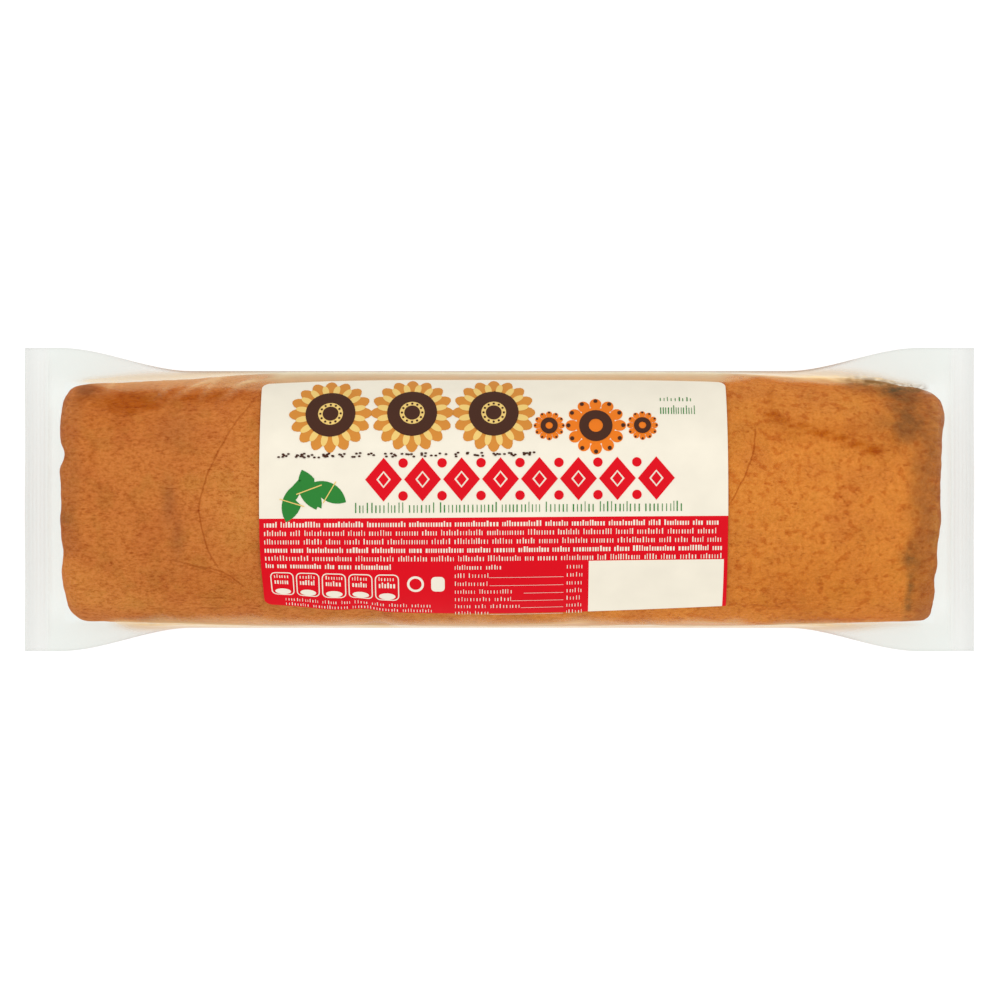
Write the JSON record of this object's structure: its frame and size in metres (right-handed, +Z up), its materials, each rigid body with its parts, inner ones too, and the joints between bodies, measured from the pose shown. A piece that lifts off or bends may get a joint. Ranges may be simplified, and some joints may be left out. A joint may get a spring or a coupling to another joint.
{
  "type": "poppy seed roll",
  "caption": "Whole poppy seed roll, a long domed sweet yeast loaf, sealed in a clear flow-wrap with flat crimped ends and a paper label across its top.",
  "frame": {"origin": "under the middle of the pack, on the surface it lies on", "axes": "+X along the roll, +Y across it, +Z up through the label on the domed top"},
  "size_m": [0.285, 0.091, 0.0524],
  "materials": {
    "wrapped_crust": "golden brown crust seen through clear film",
    "crust": "baked golden brown crust, matte",
    "clear_film": "thin clear packing film, glossy",
    "label_paper": "coated paper, cream and red print"
  },
  "bodies": {
    "root": {"wrapped_roll": "wrapped_crust", "label": "label_paper"}
  },
  "joints": []
}
